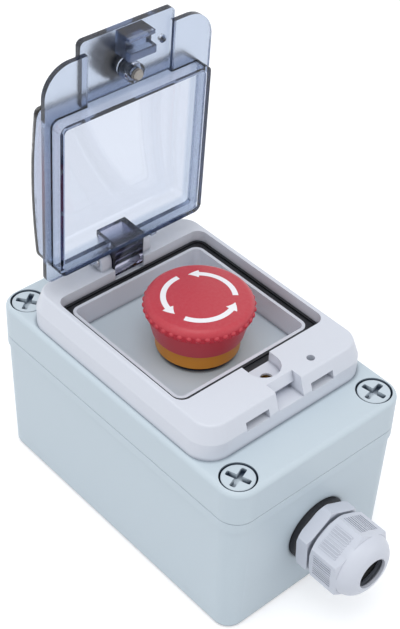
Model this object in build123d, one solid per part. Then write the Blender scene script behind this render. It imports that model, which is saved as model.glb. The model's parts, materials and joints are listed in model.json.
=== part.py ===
from build123d import *
import math
import os

# Emergency stop button box: a two-piece waterproof enclosure with a mushroom push button under
# a hinged clear cover, and a cable gland in one end. Millimetres, +Z up.
# Origin: centre of the enclosure's underside. X is across the box, Y along it, the gland is at -Y
# and the cover's hinge at +Y. The cover stands open.

# Enclosure
box_width = 80.0
box_length = 130.0
box_height = 70.0
lid_height = 14.4
corner_radius = 8.0
wall = 3.6
floor_thickness = 3.0
lid_thickness = 3.0
rim_height = 4.6
rim_step = 0.6
rim_chamfer = 0.48
foot_inset = 1.0
foot_round = 1.5
lid_edge_round = 2.0
seam_chamfer = 0.3
screw_inset = 8.1
screw_head_radius = 6.0
screw_pocket_radius = 6.55
screw_pocket_depth = 4.9
screw_head_sunk = 0.3
screw_shank_radius = 2.6
screw_length = 30.0
screw_tip_gap = 1.5
screw_tip_chamfer = 0.8
screw_edge_round = 0.5
insert_radius = 3.5
insert_length = 12.0
insert_sunk = 0.2
screw_drive_length = 9.2
screw_drive_width = 2.1
screw_drive_depth = 2.2
seal_post_radius = 3.8
seal_inset = 1.0
seal_width = 1.2
seal_depth = 2.6
ridge_height = 1.0
mount_inset_x = 22.0
mount_inset_y = 8.0
mount_hole_radius = 2.25
mount_collar_radius = 4.5
mount_collar_height = 2.5
standoff_inset_x = 15.0
standoff_inset_y = 30.0
standoff_radius = 3.5
standoff_height = 6.0
standoff_pilot_radius = 1.3
standoff_pilot_floor = 1.0

# Clearances shared by every fit
bore_gap = 0.05
run_gap = 0.06
seat_gap = 0.15
swing_gap = 0.3

# How far a cut runs past the face it opens, and how far a boss sinks into the piece it grows from
cut_past = 1.0
join = 0.5

# Cover frame on the lid
frame_side_margin = 2.1
frame_front_margin = 17.0
frame_rear_margin = 15.2
frame_height = 13.8
frame_upright = 7.0
frame_slope = 19.4
frame_radius = 9.5
frame_edge_round = 1.0
frame_side_bar = 4.2
frame_front_bar = 18.2
frame_rear_bar = 12.6
opening_radius = 4.0
channel_floor = 4.0
channel_side = 3.4
channel_front = 4.1
channel_rear = 3.0
collar_wall = 1.2
collar_radius = 2.5
collar_height = 9.5
frame_seal_height = 5.4
frame_seal_groove = 0.8
frame_seal_offset = 0.6
frame_seal_width = 1.5
gasket_lip = 0.9
gasket_groove = 0.7
pocket_roof = 2.8
pocket_wall = 3.2
pocket_side_wall = 5.4
pocket_rear_wall = 2.8
pocket_corner = 2.0
latch_block_half = 8.6
frame_screw_side_inset = 9.4
frame_screw_front_inset = 8.4
frame_screw_rear_inset = 6.3
frame_screw_radius = 1.45
frame_screw_depth = 7.0
frame_screw_spare = 1.0
frame_screw_head_radius = 2.9
frame_screw_head_height = 2.0
frame_screw_head_round = 0.8
frame_screw_drive = 3.4
frame_screw_slot = 0.8
frame_boss_radius = 3.3
slot_near = 9.8
slot_far = 20.2
slot_low = 6.2
slot_high = 9.5
notch_width = 11.8
notch_depth = 6.7
notch_slope = 1.6
notch_floor = 6.5
notch_undercut = 2.1
notch_undercut_height = 3.6
ledge_radius = 6.4
ledge_depth = 4.3
ledge_shift = 2.3
insert_inset = 12.4
latch_insert_radius = 3.2
latch_insert_length = 7.5
latch_bore_radius = 2.15
latch_insert_chamfer = 0.3
insert_lip = 0.8
insert_hole_radius = 2.3
seal_wire_x = 15.2
seal_wire_inset = 7.0
seal_wire_radius = 1.5

# Hinge
hinge_inset = 7.1
hinge_rise = 2.8
cover_open_angle = 87.85
pin_radius = 1.5
pin_head_radius = 2.1
pin_head_length = 0.6
pin_head_round = 0.42
ear_inner = 6.8
ear_width = 4.4
ear_radius = 3.4
ear_heel_inset = 1.4
ear_shoulder_angle = 30.0
hinge_well_depth = 5.4

# Clear cover in its closed position, with heights from the underside of its flange
cover_lift = 0.3
flange_side_inset = 2.6
flange_front_inset = 0.4
flange_thickness = 2.0
flange_front_radius = 11.0
flange_rear_radius = 3.0
dome_side_gap = 1.3
dome_front_gap = 1.8
dome_rear_gap = 2.2
seal_wall_drop = 4.2
shoulder_rise = 11.5
crown_rise = 13.9
dome_wall = 1.8
dome_edge_round = 2.8
dome_corner_round = 3.0
dome_inner_edge_round = 1.8
dome_inner_corner_round = 1.6
tab_width = 39.4
tab_overhang = 3.8
tab_raise = 2.0
tab_thickness = 2.4
tab_web = 1.7
tab_round = 2.0
block_width = 10.8
block_front_leg = 1.6
block_rear_leg = 3.2
block_rear_gap = 1.9
block_drop = 5.9
block_groove_drop = 3.1
block_inset = 0.2
block_front_rise = 0.9
block_round = 0.5
boss_radius = 3.7
boss_drop = 2.5
boss_floor = 1.7
nib_x = 14.0
nib_width = 2.6
nib_length = 1.9
nib_inset = 0.3

# Hinge clip in its closed position, with heights from the underside of the flange
clip_drop = 2.6
clip_thickness = 2.0
clip_rise = 8.4
clip_tail_inset = 1.2
clip_barrel_radius = 3.3
clip_cheek = 1.3

# Thumb screw in the cover's tab
latch_pitch = 0.7
latch_turns = 4.0
stud_radius = 1.95
stud_drop = 4.5
stud_tip_chamfer = 0.5
stud_in_knob = 3.5
shoulder_radius = 2.8
shoulder_length = 0.9
shoulder_gap = 0.2
retainer_radius = 3.6
retainer_thickness = 1.0
washer_radius = 5.4
washer_thickness = 1.2
washer_round = 0.4
knob_radius = 7.2
knob_height = 7.0
knob_lobes = 12
knob_lobe_radius = 1.5
knob_lobe_offset = 0.6
knob_round = 1.0
knob_slot_width = 1.6
knob_slot_depth = 1.8

# Push button
button_y = -0.7
panel_seal_radius = 13.0
panel_seal_thickness = 0.6
ring_foot_radius = 13.2
ring_foot_height = 1.6
ring_lip_radius = 15.2
ring_lip_height = 2.6
ring_top_radius = 15.3
ring_height = 9.0
ring_wall = 1.8
ring_foot_wall = 0.6
ring_web = 2.0
ring_round = 0.5
barrel_radius = 11.0
barrel_flange_radius = 12.3
barrel_flange_height = 2.4
barrel_neck_radius = 10.4
barrel_neck_height = 8.0
barrel_depth = 19.5
barrel_bore_radius = 8.0
barrel_end_wall = 2.5
panel_hole_gap = 0.15
nut_flats = 29.0
nut_height = 5.5
nut_bevel = 1.2
push_travel = 5.0
stem_radius = 4.0
stem_collar_radius = 7.94
stem_collar_height = 5.0
stem_stop_gap = 0.2
stem_reach = 0.6
head_top = 23.4
head_radius = 20.0
head_rim_low = 17.9
head_rim_high = 20.8
head_face_radius = 17.3
head_face_drop = 0.9
head_edge_in = 1.15
head_edge_up = 0.65
head_wall = 0.8
head_inner_step = 0.6
head_rim_step = 0.5
skirt_top_radius = 18.5
skirt_low_radius = 16.5
skirt_low = 8.9
head_plate = 3.2
hub_radius = 6.5
hub_low = 14.0
knurl_count = 38
knurl_radius = 1.25
knurl_proud = 0.6
knurl_rise = 1.35
spring_radius = 6.0
spring_wire = 0.55
spring_turns = 5

# Contact block under the lid
holder_wall = 2.2
holder_height = 11.5
holder_plate = 2.0
holder_grip = 5.5
holder_hole_radius = 5.0
holder_plate_side = 25.5
holder_corner = 2.0
holder_step = 1.5
holder_chamfer = 0.6
tower_width = 21.0
tower_length = 20.0
tower_height = 20.5
shelf_width = 36.0
shelf_length = 14.0
shelf_height = 14.0
cavity_width = 17.0
cavity_length = 9.0
cavity_roof = 4.5
block_chamfer = 0.6
base_plate = 2.0
plunger_radius = 2.5
plunger_tip_radius = 1.2
plunger_tip_length = 1.5
plunger_chamfer = 0.4
strip_inner = 4.5
strip_width = 5.0
strip_thickness = 1.0
strip_inset = 0.5
bridge_width = 15.0
bridge_length = 4.0
bridge_thickness = 0.8
contact_gap = 0.1
terminal_x = 14.3
terminal_head_radius = 2.6
terminal_head_height = 2.0
terminal_shank_radius = 1.5
terminal_depth = 7.0
terminal_spare = 0.5
terminal_round = 0.5
terminal_slot_width = 0.8
terminal_slot_depth = 1.0
contact_spring_radius = 2.3
contact_spring_wire = 0.3

# Cable gland in the -Y end
gland_x = 1.5
gland_z = 27.8
gland_seat_depth = 1.25
gland_pad_radius = 15.0
gland_seat_radius = 13.0
gland_pad_depth = 0.6
gland_seat_cut = 5.0
gland_thread_radius = 10.0
gland_bore_radius = 6.2
gland_inner_length = 12.0
gland_washer_radius = 12.6
gland_washer_thickness = 2.8
gland_washer_round = 0.8
gland_hex_flats = 24.0
gland_hex_height = 5.3
gland_hex_angle = 33.5
gland_bevel = 1.2
gland_neck_radius = 10.2
gland_neck_length = 10.0
gland_groove = 1.3
gland_nut_flats = 24.4
gland_nut_hex_length = 10.0
gland_nut_bevel = 1.6
gland_hex_fade = 3.0
gland_dome_start = 2.0
gland_dome_bulge = 1.9
gland_cone_end = 3.2
gland_mouth_length = 1.2
gland_nut_radius = 12.4
gland_nut_length = 18.4
gland_nut_mouth = 6.1
gland_nut_bore = 10.35
gland_locknut_flats = 27.0
gland_locknut_height = 5.0
gland_rib_count = 9
gland_rib_pitch = 1.15
gland_rib_width = 0.5
gland_rib_proud = 0.25
gland_rib_start = 2.0
grommet_bore_radius = 4.6
grommet_radius = 7.4
grommet_length = 9.0
grommet_inset = 3.6
grommet_chamfer = 0.5
claw_wall = 0.95
claw_reach = 10.8
claw_socket_depth = 5.0
claw_fingers = 8
claw_slot = 1.2
claw_base = 2.5
claw_chamfer = 0.4

# Levels and places that follow from the sizes above
seam_z = box_height - lid_height
lid_under = box_height - lid_thickness
screw_x = box_width / 2 - screw_inset
screw_y = box_length / 2 - screw_inset
frame_base = box_height
frame_top = frame_base + frame_height
frame_front = frame_front_margin - box_length / 2
frame_rear = box_length / 2 - frame_rear_margin
frame_width = box_width - 2 * frame_side_margin
opening_width = frame_width - 2 * frame_side_bar
opening_front = frame_front + frame_front_bar
opening_rear = frame_rear - frame_rear_bar
collar_width = opening_width - 2 * (channel_side + collar_wall)
collar_front = opening_front + channel_front + collar_wall
collar_rear = opening_rear - channel_rear - collar_wall
frame_screw_x = frame_width / 2 - frame_screw_side_inset
notch_lip = frame_front + notch_depth
insert_y = frame_front + insert_inset
ledge_floor = frame_top - ledge_depth
insert_top = ledge_floor - insert_lip
seal_wire_y = frame_front + seal_wire_inset
hinge_y = frame_rear - hinge_inset
hinge_z = frame_top + hinge_rise
ear_heel = frame_rear - ear_heel_inset
frame_mid = (frame_front + frame_rear) / 2
frame_length = frame_rear - frame_front
flange_low = frame_top + cover_lift
flange_high = flange_low + flange_thickness
flange_width = frame_width - 2 * flange_side_inset
flange_front = frame_front + flange_front_inset
flange_rear = hinge_y - ear_radius - swing_gap
dome_width = opening_width - 2 * dome_side_gap
dome_front = opening_front + dome_front_gap
dome_rear = opening_rear - dome_rear_gap
dome_low = flange_low - seal_wall_drop
tab_front = frame_front - tab_overhang
block_rear_face = notch_lip - block_rear_gap
block_low = flange_low - block_drop
boss_low = flange_low - boss_drop
clip_low = flange_low - clip_drop
clip_top = flange_low + clip_rise
clip_tail = frame_rear - clip_tail_inset
tab_low = flange_low + tab_raise
tab_high = tab_low + tab_thickness
clip_half = ear_inner - swing_gap
ear_outer = ear_inner + ear_width
latch_travel = latch_pitch * latch_turns
boss_step = boss_low + boss_floor
shoulder_low = boss_step + latch_travel + shoulder_gap
washer_low = tab_high + latch_travel + swing_gap
knob_low = washer_low + washer_thickness + bore_gap
barrel_low = box_height - barrel_depth
barrel_base = box_height + panel_seal_thickness
block_top = barrel_low + holder_grip - holder_height
block_base = block_top - tower_height
shelf_top = block_base + shelf_height
stem_collar_top = box_height + barrel_neck_height - push_travel - stem_stop_gap
stem_collar_low = stem_collar_top - stem_collar_height
head_under = box_height + head_top - head_plate
hex_base = gland_washer_thickness
nut_base = hex_base + gland_hex_height + gland_groove
nut_top = nut_base + gland_nut_length
neck_top = hex_base + gland_hex_height + gland_neck_length
claw_outer = grommet_radius + bore_gap + claw_wall
claw_socket = neck_top - claw_socket_depth
insert_low = seam_z - insert_length - insert_sunk
gland_seat = box_length / 2 - gland_seat_depth


def rounded_block(width, front, rear, radius, low, high):
    outline = RectangleRounded(width, rear - front, radius)
    return Pos(0, (front + rear) / 2, low) * extrude(outline, high - low)


def slab(x_low, x_high, y_low, y_high, z_low, z_high):
    size = Box(x_high - x_low, y_high - y_low, z_high - z_low)
    return Pos((x_low + x_high) / 2, (y_low + y_high) / 2, (z_low + z_high) / 2) * size


def centred(width, length, low, high):
    return slab(-width / 2, width / 2, -length / 2, length / 2, low, high)


def disc(radius, low, high, x=0.0, y=0.0):
    return Pos(x, y, (low + high) / 2) * Cylinder(radius, high - low)


def turned(points):
    profile = Plane.XZ * make_face(Polyline(*points, close=True))
    return revolve(profile, Axis.Z)


def side_profile(outline, half_width):
    """Extrudes a face drawn in Y and Z to both sides of the middle plane."""
    return extrude(Plane.YZ * outline, half_width, both=True)


def corners(half_x, half_y):
    return [(sx * half_x, sy * half_y) for sx in (-1, 1) for sy in (-1, 1)]


def at_each(places, piece):
    return [Pos(x, y, 0) * piece for x, y in places]


def merge(pieces):
    whole = pieces[0]
    for piece in pieces[1:]:
        whole = whole + piece
    return whole


def hexagon(flats, low, high, bevel, angle):
    """A hexagonal prism whose corners are turned away at both ends."""
    outline = Rot(0, 0, angle) * RegularPolygon(flats / 2, 6, major_radius=False)
    corner = flats / 2 / math.cos(math.radians(30))
    cone = turned([
        (0, low), (corner - bevel, low), (corner, low + bevel / 2), (corner, high - bevel / 2),
        (corner - bevel, high), (0, high),
    ])
    return extrude(Pos(0, 0, low) * outline, high - low) & cone


def coil(radius, wire, low, high, turns):
    """A compression spring with its wire's centre line between two levels."""
    rise = high - low - 2 * wire
    path = Pos(0, 0, low + wire) * Helix(rise / turns, rise, radius)
    section = Plane(origin=path @ 0, z_dir=path % 0) * RegularPolygon(wire, 6)
    return sweep(section, path, is_frenet=True)


def cover_opened(piece):
    """Turns a piece of the cover from its closed position to the open one at rest."""
    return piece.rotate(Axis((0, hinge_y, hinge_z), (1, 0, 0)), -cover_open_angle)


def on_gland_axis(piece):
    """Lays a piece made along +Z on the gland's axis, pointing out of the end wall."""
    return Pos(gland_x, -gland_seat, gland_z) * Rot(90, 0, 0) * piece


def at_button(piece):
    return Pos(0, button_y, 0) * piece


# Enclosure

def seal_area(inset):
    """The area inside the lid's seal at a given inset, which passes inside the corner screws."""
    area = RectangleRounded(box_width - 2 * inset, box_length - 2 * inset, corner_radius - inset)
    reach = screw_inset + seal_post_radius + inset
    corner = RectangleRounded(2 * reach, 2 * reach, seal_post_radius + inset)
    for x, y in corners(box_width / 2, box_length / 2):
        area -= Pos(x, y) * corner
    return area


def seal_band(inset, width, low, high):
    ring = seal_area(inset) - seal_area(inset + width)
    return extrude(Pos(0, 0, low) * ring, high - low)


def base_box():
    rim_low = seam_z - rim_height
    under_rim = RectangleRounded(
        box_width - 2 * rim_step, box_length - 2 * rim_step, corner_radius - rim_step
    )
    inset = rim_step + foot_inset
    foot = RectangleRounded(box_width - 2 * inset, box_length - 2 * inset, corner_radius - inset)
    body = loft([foot, Pos(0, 0, rim_low) * under_rim])
    body = fillet(body.edges().group_by(Axis.Z)[0], foot_round)
    rim = RectangleRounded(box_width, box_length, corner_radius)
    rim_block = extrude(Pos(0, 0, rim_low) * rim, rim_height)
    rim_block = chamfer(rim_block.edges().group_by(Axis.Z)[0], rim_chamfer)
    rim_block = chamfer(rim_block.edges().group_by(Axis.Z)[-1], seam_chamfer)
    body = body + rim_block
    body -= extrude(Pos(0, 0, floor_thickness) * seal_area(wall), seam_z)
    ridge_inset = seal_inset + seat_gap
    body += seal_band(ridge_inset, seal_width - 2 * seat_gap, seam_z - join, seam_z + ridge_height)
    pad_y = box_length / 2 - wall - gland_pad_depth / 2
    body += Pos(gland_x, -pad_y, gland_z) * Rot(90, 0, 0) * Cylinder(gland_pad_radius, gland_pad_depth)
    body -= on_gland_axis(disc(gland_seat_radius, 0, gland_seat_cut))
    hole = disc(gland_thread_radius + seat_gap, -2 * gland_seat_cut, gland_seat_cut)
    body -= on_gland_axis(hole)
    screws = corners(screw_x, screw_y)
    body -= at_each(screws, disc(insert_radius + bore_gap, insert_low, seam_z + rim_height))
    body -= at_each(screws, disc(screw_shank_radius + seat_gap, seam_z - screw_length, seam_z))
    mounts = corners(box_width / 2 - mount_inset_x, box_length / 2 - mount_inset_y)
    collar_top = floor_thickness + mount_collar_height
    body += merge(at_each(mounts, disc(mount_collar_radius, floor_thickness - cut_past, collar_top)))
    body -= at_each(mounts, disc(mount_hole_radius, -1, collar_top + cut_past))
    posts = corners(box_width / 2 - standoff_inset_x, box_length / 2 - standoff_inset_y)
    post_top = floor_thickness + standoff_height
    body += merge(at_each(posts, disc(standoff_radius, floor_thickness - cut_past, post_top)))
    pilot_low = floor_thickness + standoff_pilot_floor
    body -= at_each(posts, disc(standoff_pilot_radius, pilot_low, post_top + cut_past))
    return body


def lid():
    outline = RectangleRounded(box_width, box_length, corner_radius)
    body = extrude(Pos(0, 0, seam_z) * outline, lid_height)
    body = fillet(body.edges().group_by(Axis.Z)[-1], lid_edge_round)
    body = chamfer(body.edges().group_by(Axis.Z)[0], seam_chamfer)
    body -= extrude(Pos(0, 0, seam_z - cut_past) * seal_area(wall), lid_under - seam_z + cut_past)
    body -= seal_band(seal_inset, seal_width, seam_z - cut_past, seam_z + seal_depth)
    screws = corners(screw_x, screw_y)
    body -= at_each(screws, disc(screw_pocket_radius, box_height - screw_pocket_depth, box_height + cut_past))
    body -= at_each(screws, disc(screw_shank_radius + seat_gap, seam_z - cut_past, box_height))
    body -= at_button(disc(barrel_radius + panel_hole_gap, lid_under - cut_past, box_height + cut_past))
    hole = disc(frame_screw_radius + seat_gap, lid_under - cut_past, box_height + cut_past)
    hole += disc(frame_screw_head_radius + seat_gap, seam_z - cut_past, lid_under)
    body -= at_each(frame_screw_places(), hole)
    return body


def lid_gasket():
    low = seam_z + ridge_height + bore_gap
    return seal_band(seal_inset + bore_gap, seal_width - 2 * bore_gap, low, seam_z + seal_depth - bore_gap)


def lid_screw():
    seat = box_height - screw_pocket_depth
    top = box_height - screw_head_sunk
    head = disc(screw_head_radius, seat, top)
    head = fillet(head.edges().group_by(Axis.Z)[-1], screw_edge_round)
    bar = Box(screw_drive_length, screw_drive_width, 2 * screw_drive_depth)
    bar = fillet(bar.edges().filter_by(Axis.Z), screw_edge_round)
    head -= Pos(0, 0, top) * bar
    head -= Pos(0, 0, top) * Rot(0, 0, 90) * bar
    shank = disc(screw_shank_radius, seam_z - screw_length + screw_tip_gap, seat + join)
    shank = chamfer(shank.edges().group_by(Axis.Z)[0], screw_tip_chamfer)
    return head + shank


def lid_screws():
    turns = {(-1, -1): 20, (-1, 1): 35, (1, -1): 10, (1, 1): 60}
    return Compound([Pos(x * screw_x, y * screw_y, 0) * Rot(0, 0, turn) * lid_screw()
                     for (x, y), turn in turns.items()])


def screw_inserts():
    sleeve = disc(insert_radius, insert_low, seam_z - insert_sunk)
    sleeve -= disc(screw_shank_radius + run_gap, insert_low - cut_past, seam_z)
    return Compound(at_each(corners(screw_x, screw_y), sleeve))


# Cover frame and its seal

def collar_block(edge, low, high):
    """The opening inside the collar, grown on every side by an edge."""
    return rounded_block(
        collar_width + 2 * edge, collar_front - edge, collar_rear + edge, collar_radius + edge, low, high
    )


def frame_screw_places():
    rows = (frame_front + frame_screw_front_inset, frame_rear - frame_screw_rear_inset)
    return [(side * frame_screw_x, y) for side in (-1, 1) for y in rows]


def frame_pocket(side):
    near = latch_block_half
    far = frame_width / 2 - pocket_side_wall
    low_y = frame_front + pocket_wall
    high_y = opening_front - pocket_rear_wall
    pocket = slab(near, far, low_y, high_y, frame_base - cut_past, frame_top - pocket_roof)
    pocket = fillet(pocket.edges().filter_by(Axis.Z), pocket_corner)
    return pocket if side > 0 else mirror(pocket, Plane.YZ)


def hinge_ear():
    foot = frame_top - join
    angle = math.radians(ear_shoulder_angle)
    shoulder = (hinge_y + ear_radius * math.cos(angle), hinge_z + ear_radius * math.sin(angle))
    front = hinge_y - ear_radius
    web = make_face(Polyline(
        (front, foot), (front, hinge_z), (hinge_y, hinge_z), shoulder, (ear_heel, foot), close=True
    ))
    outline = web + Pos(hinge_y, hinge_z) * Circle(ear_radius)
    outline -= Pos(hinge_y, hinge_z) * Circle(pin_radius + bore_gap / 2)
    return Pos(ear_inner, 0, 0) * extrude(Plane.YZ * outline, ear_width)


def latch_notch():
    """The open notch in the frame's front, with a sloped back wall and an undercut below it."""
    half = notch_width / 2
    floor = frame_base + notch_floor
    front = frame_front - cut_past
    high = frame_top + cut_past
    under = floor + notch_undercut_height
    lip = notch_lip - notch_slope
    outline = make_face(Polyline(
        (front, floor), (lip + notch_undercut, floor), (lip + notch_undercut, under),
        (lip, under), (notch_lip, frame_top), (notch_lip, high), (front, high), close=True
    ))
    return side_profile(outline, half)


def cover_frame():
    outline = Pos(0, frame_mid, 0) * RectangleRounded(frame_width, frame_length, frame_radius)
    body = extrude(Pos(0, 0, frame_base) * outline, frame_upright)
    crown = Pos(0, 0, frame_base + frame_upright) * outline
    body += extrude(crown, frame_height - frame_upright, taper=frame_slope)
    body = fillet(body.edges().group_by(Axis.Z)[-1], frame_edge_round)
    body -= rounded_block(
        opening_width, opening_front, opening_rear, opening_radius,
        frame_base + channel_floor, frame_top + cut_past
    )
    body += collar_block(collar_wall, frame_base, frame_base + collar_height)
    body -= collar_block(0, frame_base - cut_past, frame_top + cut_past)
    for side in (-1, 1):
        body -= frame_pocket(side)
    boss = disc(frame_boss_radius, frame_base, frame_top - pocket_roof + join)
    boss_y = frame_front + frame_screw_front_inset
    body += [Pos(side * frame_screw_x, boss_y, 0) * boss for side in (-1, 1)]
    pilot_top = frame_base + frame_screw_depth + frame_screw_spare
    pilot = disc(frame_screw_radius + bore_gap, frame_base - cut_past, pilot_top)
    body -= at_each(frame_screw_places(), pilot)
    for side in (-1, 1):
        near, far = sorted((side * slot_near, side * slot_far))
        inner = frame_front + pocket_wall + cut_past
        body -= slab(near, far, frame_front - cut_past, inner, frame_base + slot_low, frame_base + slot_high)
    body -= latch_notch()
    body -= latch_ledge()
    body -= disc(latch_insert_radius + bore_gap, frame_base - cut_past, insert_top, 0, insert_y)
    body -= disc(insert_hole_radius, insert_top - join, frame_top, 0, insert_y)
    body -= disc(seal_wire_radius, frame_base, frame_top + cut_past, seal_wire_x, seal_wire_y)
    well_front = opening_rear - cut_past
    high = frame_top + cut_past
    body -= slab(-ear_inner, ear_inner, well_front, frame_rear + cut_past, frame_top - hinge_well_depth, high)
    ear = hinge_ear()
    body += ear
    body += mirror(ear, Plane.YZ)
    body -= frame_seal_ring(frame_seal_groove, 0.0)
    return body


def latch_ledge():
    """The half-round recess round the latch insert, open to the frame's opening."""
    high = frame_top + cut_past
    front = insert_y + ledge_shift
    round_end = disc(ledge_radius, ledge_floor, high, 0, front)
    return round_end + slab(-ledge_radius, ledge_radius, front, opening_front + cut_past, ledge_floor, high)


def frame_seal_ring(height, gap):
    """The flat seal in the frame's underside, round the collar."""
    inner = collar_wall + frame_seal_offset + gap
    outer = collar_wall + frame_seal_offset + frame_seal_width - gap
    high = frame_base + height
    return collar_block(outer, frame_base, high) - collar_block(inner, frame_base - cut_past, high + cut_past)


def frame_seal():
    return frame_seal_ring(frame_seal_groove - bore_gap, bore_gap)


def cover_gasket():
    """The rubber seal in the frame's channel, with a groove along its top for the cover's rim."""
    low = frame_base + channel_floor
    high = low + frame_seal_height
    ring = rounded_block(
        opening_width - 2 * seat_gap, opening_front + seat_gap, opening_rear - seat_gap,
        opening_radius - seat_gap, low, high
    )
    inner = collar_wall + seat_gap
    ring -= collar_block(inner, low - cut_past, high + cut_past)
    edge = seat_gap + gasket_lip
    groove = rounded_block(
        opening_width - 2 * edge, opening_front + edge, opening_rear - edge, opening_radius - edge,
        high - gasket_groove, high + cut_past
    )
    groove -= collar_block(inner + gasket_lip, low, high + cut_past)
    return ring - groove


def frame_screws():
    low = lid_under - frame_screw_head_height
    screw = disc(frame_screw_radius, lid_under - join, frame_base + frame_screw_depth)
    head = disc(frame_screw_head_radius, low, lid_under)
    head = fillet(head.edges().group_by(Axis.Z)[0], frame_screw_head_round)
    bar = Box(frame_screw_drive, frame_screw_slot, frame_screw_head_height)
    head -= Pos(0, 0, low) * bar
    head -= Pos(0, 0, low) * Rot(0, 0, 90) * bar
    return Compound(at_each(frame_screw_places(), screw + head))


def latch_insert():
    """The threaded sleeve for the thumb screw, pressed in from below up to the lip round its hole."""
    top = insert_top - bore_gap
    low = top - latch_insert_length
    sleeve = disc(latch_insert_radius, low, top, 0, insert_y)
    sleeve = chamfer(sleeve.edges().group_by(Axis.Z)[-1], latch_insert_chamfer)
    sleeve -= disc(latch_bore_radius, low - cut_past, top + cut_past, 0, insert_y)
    return sleeve


def hinge_pin():
    end = ear_outer + bore_gap
    shaft = Rot(0, 90, 0) * Cylinder(pin_radius, 2 * end)
    head = Cylinder(pin_head_radius, pin_head_length)
    head = fillet(head.edges().group_by(Axis.Z)[-1], pin_head_round)
    head = Rot(0, 90, 0) * head
    place = end + pin_head_length / 2
    pin = shaft + Pos(place, 0, 0) * head + mirror(Pos(place, 0, 0) * head, Plane.YZ)
    return Pos(0, hinge_y, hinge_z) * pin


# Clear cover and its latch

def dome_block(inset, top_inset, edge_round, corner_round, low):
    front = dome_front + inset
    rear = dome_rear - inset
    shoulder = flange_low + shoulder_rise - top_inset
    crown = flange_low + crown_rise - top_inset
    middle = (front + rear) / 2
    outline = make_face([
        Polyline((rear, shoulder), (rear, low), (front, low), (front, shoulder)),
        ThreePointArc((front, shoulder), (middle, crown), (rear, shoulder)),
    ])
    block = side_profile(outline, dome_width / 2 - inset)
    block = fillet(block.edges().filter_by(Axis.Z), corner_round)
    top = block.faces().sort_by(Axis.Z)[-1]
    return fillet(top.edges(), edge_round)


def cover_flange():
    middle = (flange_front + flange_rear) / 2
    plate = Pos(0, middle) * Rectangle(flange_width, flange_rear - flange_front)
    rows = plate.vertices().group_by(Axis.Y)
    plate = fillet(rows[0], flange_front_radius)
    plate = fillet(plate.vertices().group_by(Axis.Y)[-1], flange_rear_radius)
    return extrude(Pos(0, 0, flange_low) * plate, flange_thickness)


def snap_block():
    front = tab_front + block_inset
    low_edge = block_low + block_front_rise
    roof = flange_low - block_groove_drop
    root = tab_low + join
    rear = block_rear_face
    outline = make_face(Polyline(
        (front, root), (front, low_edge), (front + block_front_leg, low_edge),
        (front + block_front_leg, roof), (rear - block_rear_leg, roof),
        (rear - block_rear_leg, block_low), (rear, block_low), (rear, root), close=True
    ))
    block = side_profile(outline, block_width / 2)
    return fillet(block.edges().filter_by(Axis.X).group_by(Axis.Z)[0], block_round)


def clear_cover():
    half = tab_width / 2
    body = cover_flange()
    tab = slab(-half, half, tab_front, dome_front + join, tab_low, tab_high)
    body += fillet(tab.edges().filter_by(Axis.Z).group_by(Axis.Y)[0], tab_round)
    body += dome_block(0.0, 0.0, dome_edge_round, dome_corner_round, dome_low)
    inner = half - tab_web
    body -= slab(-inner, inner, tab_front - cut_past, dome_front, flange_low - cut_past, tab_low)
    body -= dome_block(
        dome_wall, dome_wall, dome_inner_edge_round, dome_inner_corner_round, dome_low - cut_past
    )
    body += snap_block()
    body += disc(boss_radius, boss_low, tab_low + join, 0, insert_y)
    body -= disc(stud_radius + run_gap, boss_low - cut_past, tab_high + cut_past, 0, insert_y)
    body -= disc(shoulder_radius + seat_gap, boss_step, tab_high + cut_past, 0, insert_y)
    retainer_seat = tab_high - retainer_thickness
    body -= disc(retainer_radius + bore_gap, retainer_seat, tab_high + cut_past, 0, insert_y)
    body -= disc(seal_wire_radius, tab_low - cut_past, tab_high + cut_past, seal_wire_x, seal_wire_y)
    slot = clip_half + seat_gap
    low = flange_low - cut_past
    body -= slab(-slot, slot, dome_rear, flange_rear + cut_past, low, flange_high + cut_past)
    for side in (-1, 1):
        body += Pos(side * nib_x, 0, 0) * slab(
            -nib_width / 2, nib_width / 2, flange_rear - cut_past, flange_rear + nib_length,
            flange_low + nib_inset, flange_high - nib_inset
        )
    return body


def hinge_clip():
    """The dark bracket on the dome's rear wall, whose barrel turns on the pin."""
    wall_leg = make_face(Polyline(
        (dome_rear, clip_low), (dome_rear, clip_top), (dome_rear + clip_thickness, clip_top),
        (dome_rear + clip_thickness, clip_low), close=True
    ))
    tail = make_face(Polyline(
        (dome_rear, clip_low), (clip_tail, clip_low), (clip_tail, clip_low + clip_thickness),
        (dome_rear, clip_low + clip_thickness), close=True
    ))
    barrel = Pos(hinge_y, hinge_z) * Circle(clip_barrel_radius)
    neck = make_face(Polyline(
        (hinge_y - clip_barrel_radius, hinge_z), (hinge_y - clip_barrel_radius, clip_low + join),
        (hinge_y + clip_barrel_radius, clip_low + join), (hinge_y + clip_barrel_radius, hinge_z), close=True
    ))
    cheek = make_face(Polyline(
        (dome_rear + join, clip_low + join), (dome_rear + join, clip_top),
        (dome_rear + clip_thickness, clip_top),
        (hinge_y, hinge_z + clip_barrel_radius), (hinge_y, clip_low + join), close=True
    ))
    body = side_profile(wall_leg + tail + barrel + neck, clip_half)
    rib = Pos(clip_half - clip_cheek, 0, 0) * extrude(Plane.YZ * cheek, clip_cheek)
    body += rib
    body += mirror(rib, Plane.YZ)
    bore = Pos(0, hinge_y, hinge_z) * Rot(0, 90, 0) * Cylinder(pin_radius + run_gap, 4 * clip_half)
    return body - bore


def latch_retainer():
    low = tab_high - retainer_thickness
    ring = disc(retainer_radius, low, tab_high, 0, insert_y)
    return ring - disc(stud_radius + run_gap, low - cut_past, tab_high + cut_past, 0, insert_y)


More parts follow.
